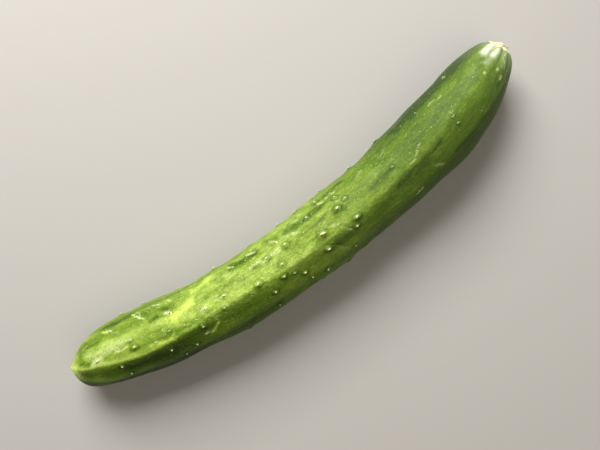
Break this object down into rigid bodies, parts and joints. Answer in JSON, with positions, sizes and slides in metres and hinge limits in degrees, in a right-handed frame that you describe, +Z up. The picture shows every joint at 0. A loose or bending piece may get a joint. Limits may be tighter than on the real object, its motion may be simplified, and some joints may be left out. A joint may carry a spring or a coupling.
{
  "type": "cucumber",
  "caption": "Whole fresh cucumber lying on its side: long, gently bent, ribbed and warty green fruit with a pointed blossom end and a pale cut stem stub.",
  "frame": {"origin": "on the surface the fruit rests on, under the centre of its bounding box", "axes": "+X along the straight line from the blossom tip to the stem, +Y towards the hollow side of the bend, +Z up"},
  "size_m": [0.2714, 0.0498, 0.039],
  "materials": {
    "skin": "satin",
    "cut_stem": "matte"
  },
  "bodies": {
    "root": {"fruit": "skin", "stem_stub": "cut_stem"}
  },
  "joints": []
}
